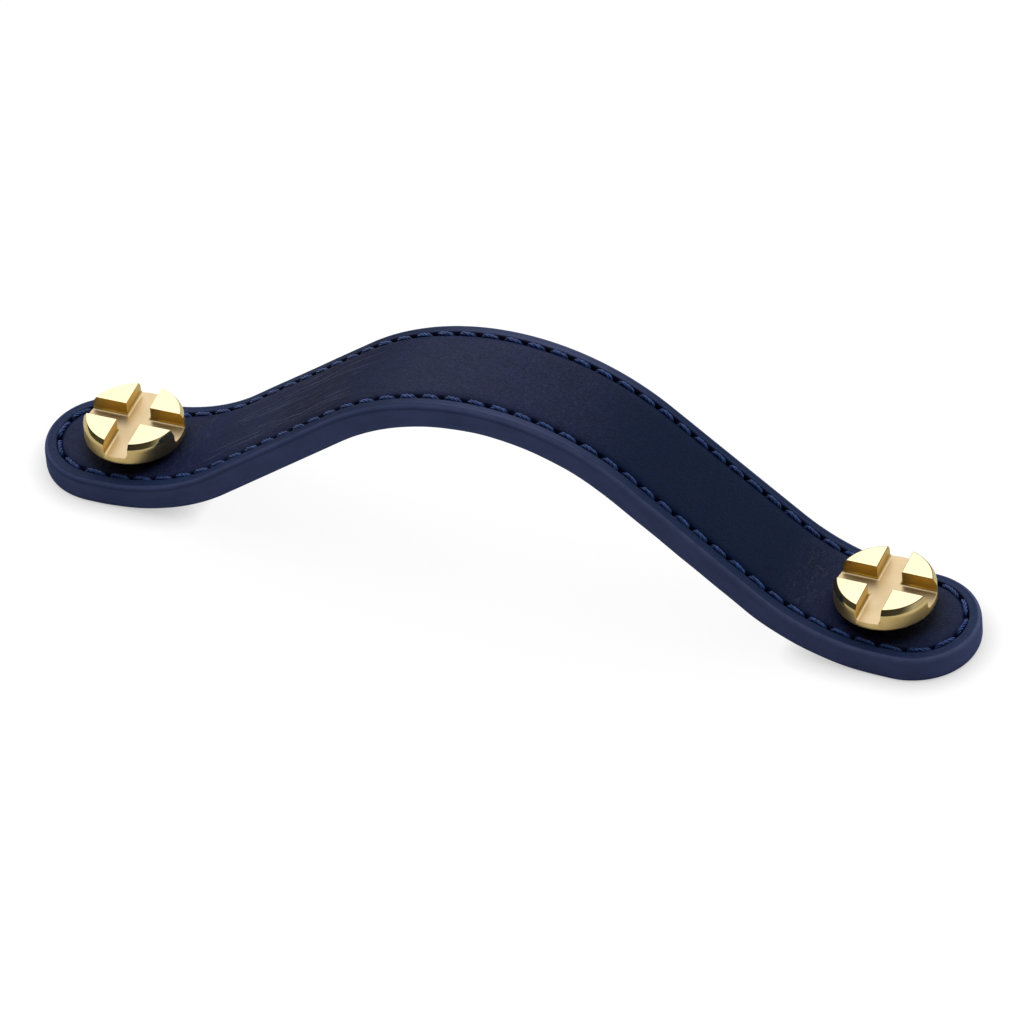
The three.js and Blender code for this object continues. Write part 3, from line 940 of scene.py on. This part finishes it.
def thread():
    """Waxed blue thread, its fibres running along each ply."""
    material, n = new_material("blue_thread")
    fibre = n.attribute("fibre")
    hole = n.attribute("hole", "Fac")
    strands = n.noise(n.scaled(fibre, (0.9, 9.0, 3.1)), 1.0, 3, 0.6)
    patches = n.noise(n.scaled(fibre, (0.35, 0.0, 1.7)), 1.0, 2)
    base = n.mix(n.ramp(strands, 0.36, 0.7), colour(9, 30, 86), colour(68, 114, 196))
    base = n.mix(n.ramp(patches, 0.35, 0.7, 0.0, 0.45), base, colour(15, 32, 76))
    # painted shade where the thread goes down into a hole
    base = n.mix(n.product(hole, 0.9), base, colour(4, 6, 18))
    rough = n.ramp(strands, 0.3, 0.7, 0.32, 0.5)
    normal = n.bump(strands, FIBRE_RELIEF * MM)
    n.surface(Base_Color=base, Roughness=rough, Normal=normal, Specular_IOR_Level=0.35)
    return material


def brass(name, fresh_tint, worn_tint, roughness, stretch, scratch_depth):
    """Brass with fine tool marks. stretch is how close together they run along X, Y and Z."""
    material, n = new_material(name)
    place = n.add("ShaderNodeTexCoord").outputs["Object"]
    haze = n.noise(place, 230, 3, 0.5)
    base = n.mix(n.ramp(haze, 0.3, 0.75), (*fresh_tint, 1), (*worn_tint, 1))
    marks = n.noise(n.scaled(place, stretch), 1.0, 3, 0.6)
    rough = n.total(n.ramp(haze, 0.3, 0.75, 0.85 * roughness, 1.15 * roughness), n.product(marks, 0.03))
    n.surface(Base_Color=base, Metallic=1.0, Roughness=rough, Normal=n.bump(marks, scratch_depth * MM))
    return material


def brass_finishes():
    """The finishes in the order of POLISHED, CHAMFERED, TURNED, WALL_CUT, FLOOR_CUT and EDGE."""
    return [
        brass("brass_polished", (0.88, 0.77, 0.50), (0.87, 0.75, 0.46), 0.05, (900, 90, 90), 0.0006),
        brass("brass_chamfer", (0.80, 0.65, 0.30), (0.76, 0.60, 0.26), 0.08, (40, 40, 5000), 0.0006),
        brass("brass_turned", (0.88, 0.65, 0.27), (0.81, 0.58, 0.22), 0.38, (30, 30, 7000), 0.001),
        # slot walls and floor: darker, deeper tints than one brass would have, painted shade in the slots
        brass("brass_slot_wall_shaded", (0.66, 0.47, 0.13), (0.62, 0.44, 0.11), 0.34, (200, 200, 2000), 0.0002),
        brass("brass_slot_floor_shaded", (0.62, 0.48, 0.29), (0.60, 0.46, 0.27), 0.4, (2400, 200, 60), 0.0002),
        # near black: a painted dark line along the bevelled edges
        brass("brass_edge_painted_shade", (0.17, 0.12, 0.05), (0.12, 0.08, 0.03), 0.3, (300, 300, 300), 0.0005),
    ]


# Stage, light and camera

FLOOR_SIZE = 6.0
FLOOR_DROP = 0.05  # millimetres, so that the floor and the strap's underside don't share a plane
FLOOR_ALBEDO = 0.8
FLOOR_LIGHT = 0.9  # what an open white floor receives from this light, as a share of full white
SHADOW_SHARE = 0.11  # how much of the floor's brightness, as the camera sees it, a soft shadow can take
CONTACT_SHARE = 0.5  # and how much the close shadow along the foot of things can take
CONTACT_REACH = 4.0  # millimetres
FLOOR_WHITE = 1.04  # the open floor as the camera sees it, a little over full white


def floor():
    """A white floor that the camera sees as the white behind, but for the soft shadows on it."""
    half = FLOOR_SIZE / 2 / MM
    square = ((-half, -half), (half, -half), (half, half), (-half, half))
    corners = np.array([(x, y, -FLOOR_DROP) for x, y in square])
    thing = mesh_object("floor", corners, [(0, 1, 2, 3)], smooth=False)
    material, n = new_material("floor_white")
    seen = n.add("ShaderNodeBsdfDiffuse")
    seen.inputs[0].default_value = (SHADOW_SHARE / FLOOR_LIGHT,) * 3 + (1,)
    glow = n.add("ShaderNodeEmission")
    near = n.add("ShaderNodeAmbientOcclusion", samples=6)
    near.inputs["Distance"].default_value = CONTACT_REACH * MM
    taken = n.product(n.math("SUBTRACT", 1.0, near.outputs["AO"]), CONTACT_SHARE)
    n.feed(glow.inputs[1], n.math("SUBTRACT", FLOOR_WHITE - SHADOW_SHARE, taken))
    both = n.add("ShaderNodeAddShader")
    plain = n.add("ShaderNodeBsdfDiffuse")
    plain.inputs[0].default_value = (FLOOR_ALBEDO,) * 3 + (1,)
    choose = n.add("ShaderNodeMixShader")
    out = n.add("ShaderNodeOutputMaterial")
    link = n.tree.links.new
    link(seen.outputs[0], both.inputs[0])
    link(glow.outputs[0], both.inputs[1])
    link(n.add("ShaderNodeLightPath").outputs["Is Camera Ray"], choose.inputs[0])
    link(plain.outputs[0], choose.inputs[1])
    link(both.outputs[0], choose.inputs[2])
    link(choose.outputs[0], out.inputs[0])
    thing.data.materials.append(material)
    return thing


SOFTBOX_WAY = Vector((-0.27, 0.5, 0.82)).normalized()
SOFTBOX_LIGHT = 1.45
SOFTBOX_EDGE = (0.4, 0.72)  # cosines of the angles from its middle, from outside its soft edge to inside
ROOM_LIGHT = (0.06, 0.5)  # at the left and at the right
ROOM_SIDES = (-0.8, 0.9)
DARK_WAY = Vector((0.25, -0.8, 0.55)).normalized()
DARK_EDGE = (0.45, 0.88)
DARK_SHARE = 0.12  # of the room's light that is left in front, where nothing stands


def world():
    """White behind everything, and a room that is dim but for one large softbox overhead."""
    room = bpy.data.worlds.new("studio")
    bpy.context.scene.world = room
    room.use_nodes = True
    n = Nodes(room.node_tree)
    way = n.add("ShaderNodeTexCoord").outputs["Generated"]
    facing = n.add("ShaderNodeVectorMath", operation="DOT_PRODUCT")
    n.feed(facing.inputs[0], way)
    facing.inputs[1].default_value = SOFTBOX_WAY
    room_light = n.ramp(n.split(way)[0], *ROOM_SIDES, *ROOM_LIGHT)
    light = n.ramp(facing.outputs["Value"], *SOFTBOX_EDGE, room_light, SOFTBOX_LIGHT)
    shade = n.add("ShaderNodeVectorMath", operation="DOT_PRODUCT")
    n.feed(shade.inputs[0], way)
    shade.inputs[1].default_value = DARK_WAY
    light = n.product(light, n.ramp(shade.outputs["Value"], *DARK_EDGE, 1.0, DARK_SHARE))
    path = n.add("ShaderNodeLightPath").outputs
    strength = n.add("ShaderNodeMix", data_type="FLOAT")
    n.feed(strength.inputs[0], n.math("MAXIMUM", path["Is Camera Ray"], path["Is Transmission Ray"]))
    n.feed(strength.inputs[2], light)
    n.feed(strength.inputs[3], 1.0)
    shine = n.add("ShaderNodeBackground")
    shine.inputs[0].default_value = (1, 1, 1, 1)
    n.feed(shine.inputs[1], strength.outputs[0])
    out = n.add("ShaderNodeOutputWorld")
    n.tree.links.new(shine.outputs[0], out.inputs[0])


CAMERA_AZIMUTH = math.radians(24.615)
CAMERA_ELEVATION = math.radians(41.282)
CAMERA_ROLL = math.radians(-4.45)
CAMERA_DISTANCE = 1600
CAMERA_TARGET = (-2.567, 8.037, 0)
SENSOR = 36
FOCAL_PIXELS = 10042.25
PICTURE_PIXELS = 1024


def camera():
    """A long lens, turned by its azimuth from the front, its elevation over the floor and its roll."""
    back = Vector(
        (
            math.sin(CAMERA_AZIMUTH) * math.cos(CAMERA_ELEVATION),
            -math.cos(CAMERA_AZIMUTH) * math.cos(CAMERA_ELEVATION),
            math.sin(CAMERA_ELEVATION),
        )
    )
    level = (-back).cross(Vector((0, 0, 1))).normalized()
    upright = level.cross(-back)
    right = math.cos(CAMERA_ROLL) * level + math.sin(CAMERA_ROLL) * upright
    up = math.cos(CAMERA_ROLL) * upright - math.sin(CAMERA_ROLL) * level
    lens = bpy.data.cameras.new("camera")
    lens.sensor_width = SENSOR
    lens.lens = FOCAL_PIXELS * SENSOR / PICTURE_PIXELS
    lens.clip_start = 0.05
    lens.clip_end = 20
    thing = bpy.data.objects.new("camera", lens)
    bpy.context.scene.collection.objects.link(thing)
    place = (Vector(CAMERA_TARGET) + CAMERA_DISTANCE * back) * MM
    thing.matrix_world = Matrix.Translation(place) @ Matrix((right, up, back)).transposed().to_4x4()
    bpy.context.scene.camera = thing


def main():
    camera()
    leather_finish, thread_finish = leather(), thread()
    finishes = brass_finishes()

    belt = strap()
    belt.data.materials.append(leather_finish)
    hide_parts("leather_front", "leather_back")
    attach(belt, "root")

    for name, node, back in (
        ("needle_stitches", "needle_thread", False),
        ("bobbin_stitches", "bobbin_thread", True),
    ):
        row = stitches(name, back)
        row.data.materials.append(thread_finish)
        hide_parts(node)
        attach(row, "root")

    for side, x in (("left", -HOLE_SPACING / 2), ("right", HOLE_SPACING / 2)):
        head = screw(side, x, finishes)
        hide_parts("screw_" + side)
        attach(head, "root")

    floor()
    world()
    bpy.context.scene.view_settings.view_transform = "Standard"
    bpy.context.view_layer.update()


main()
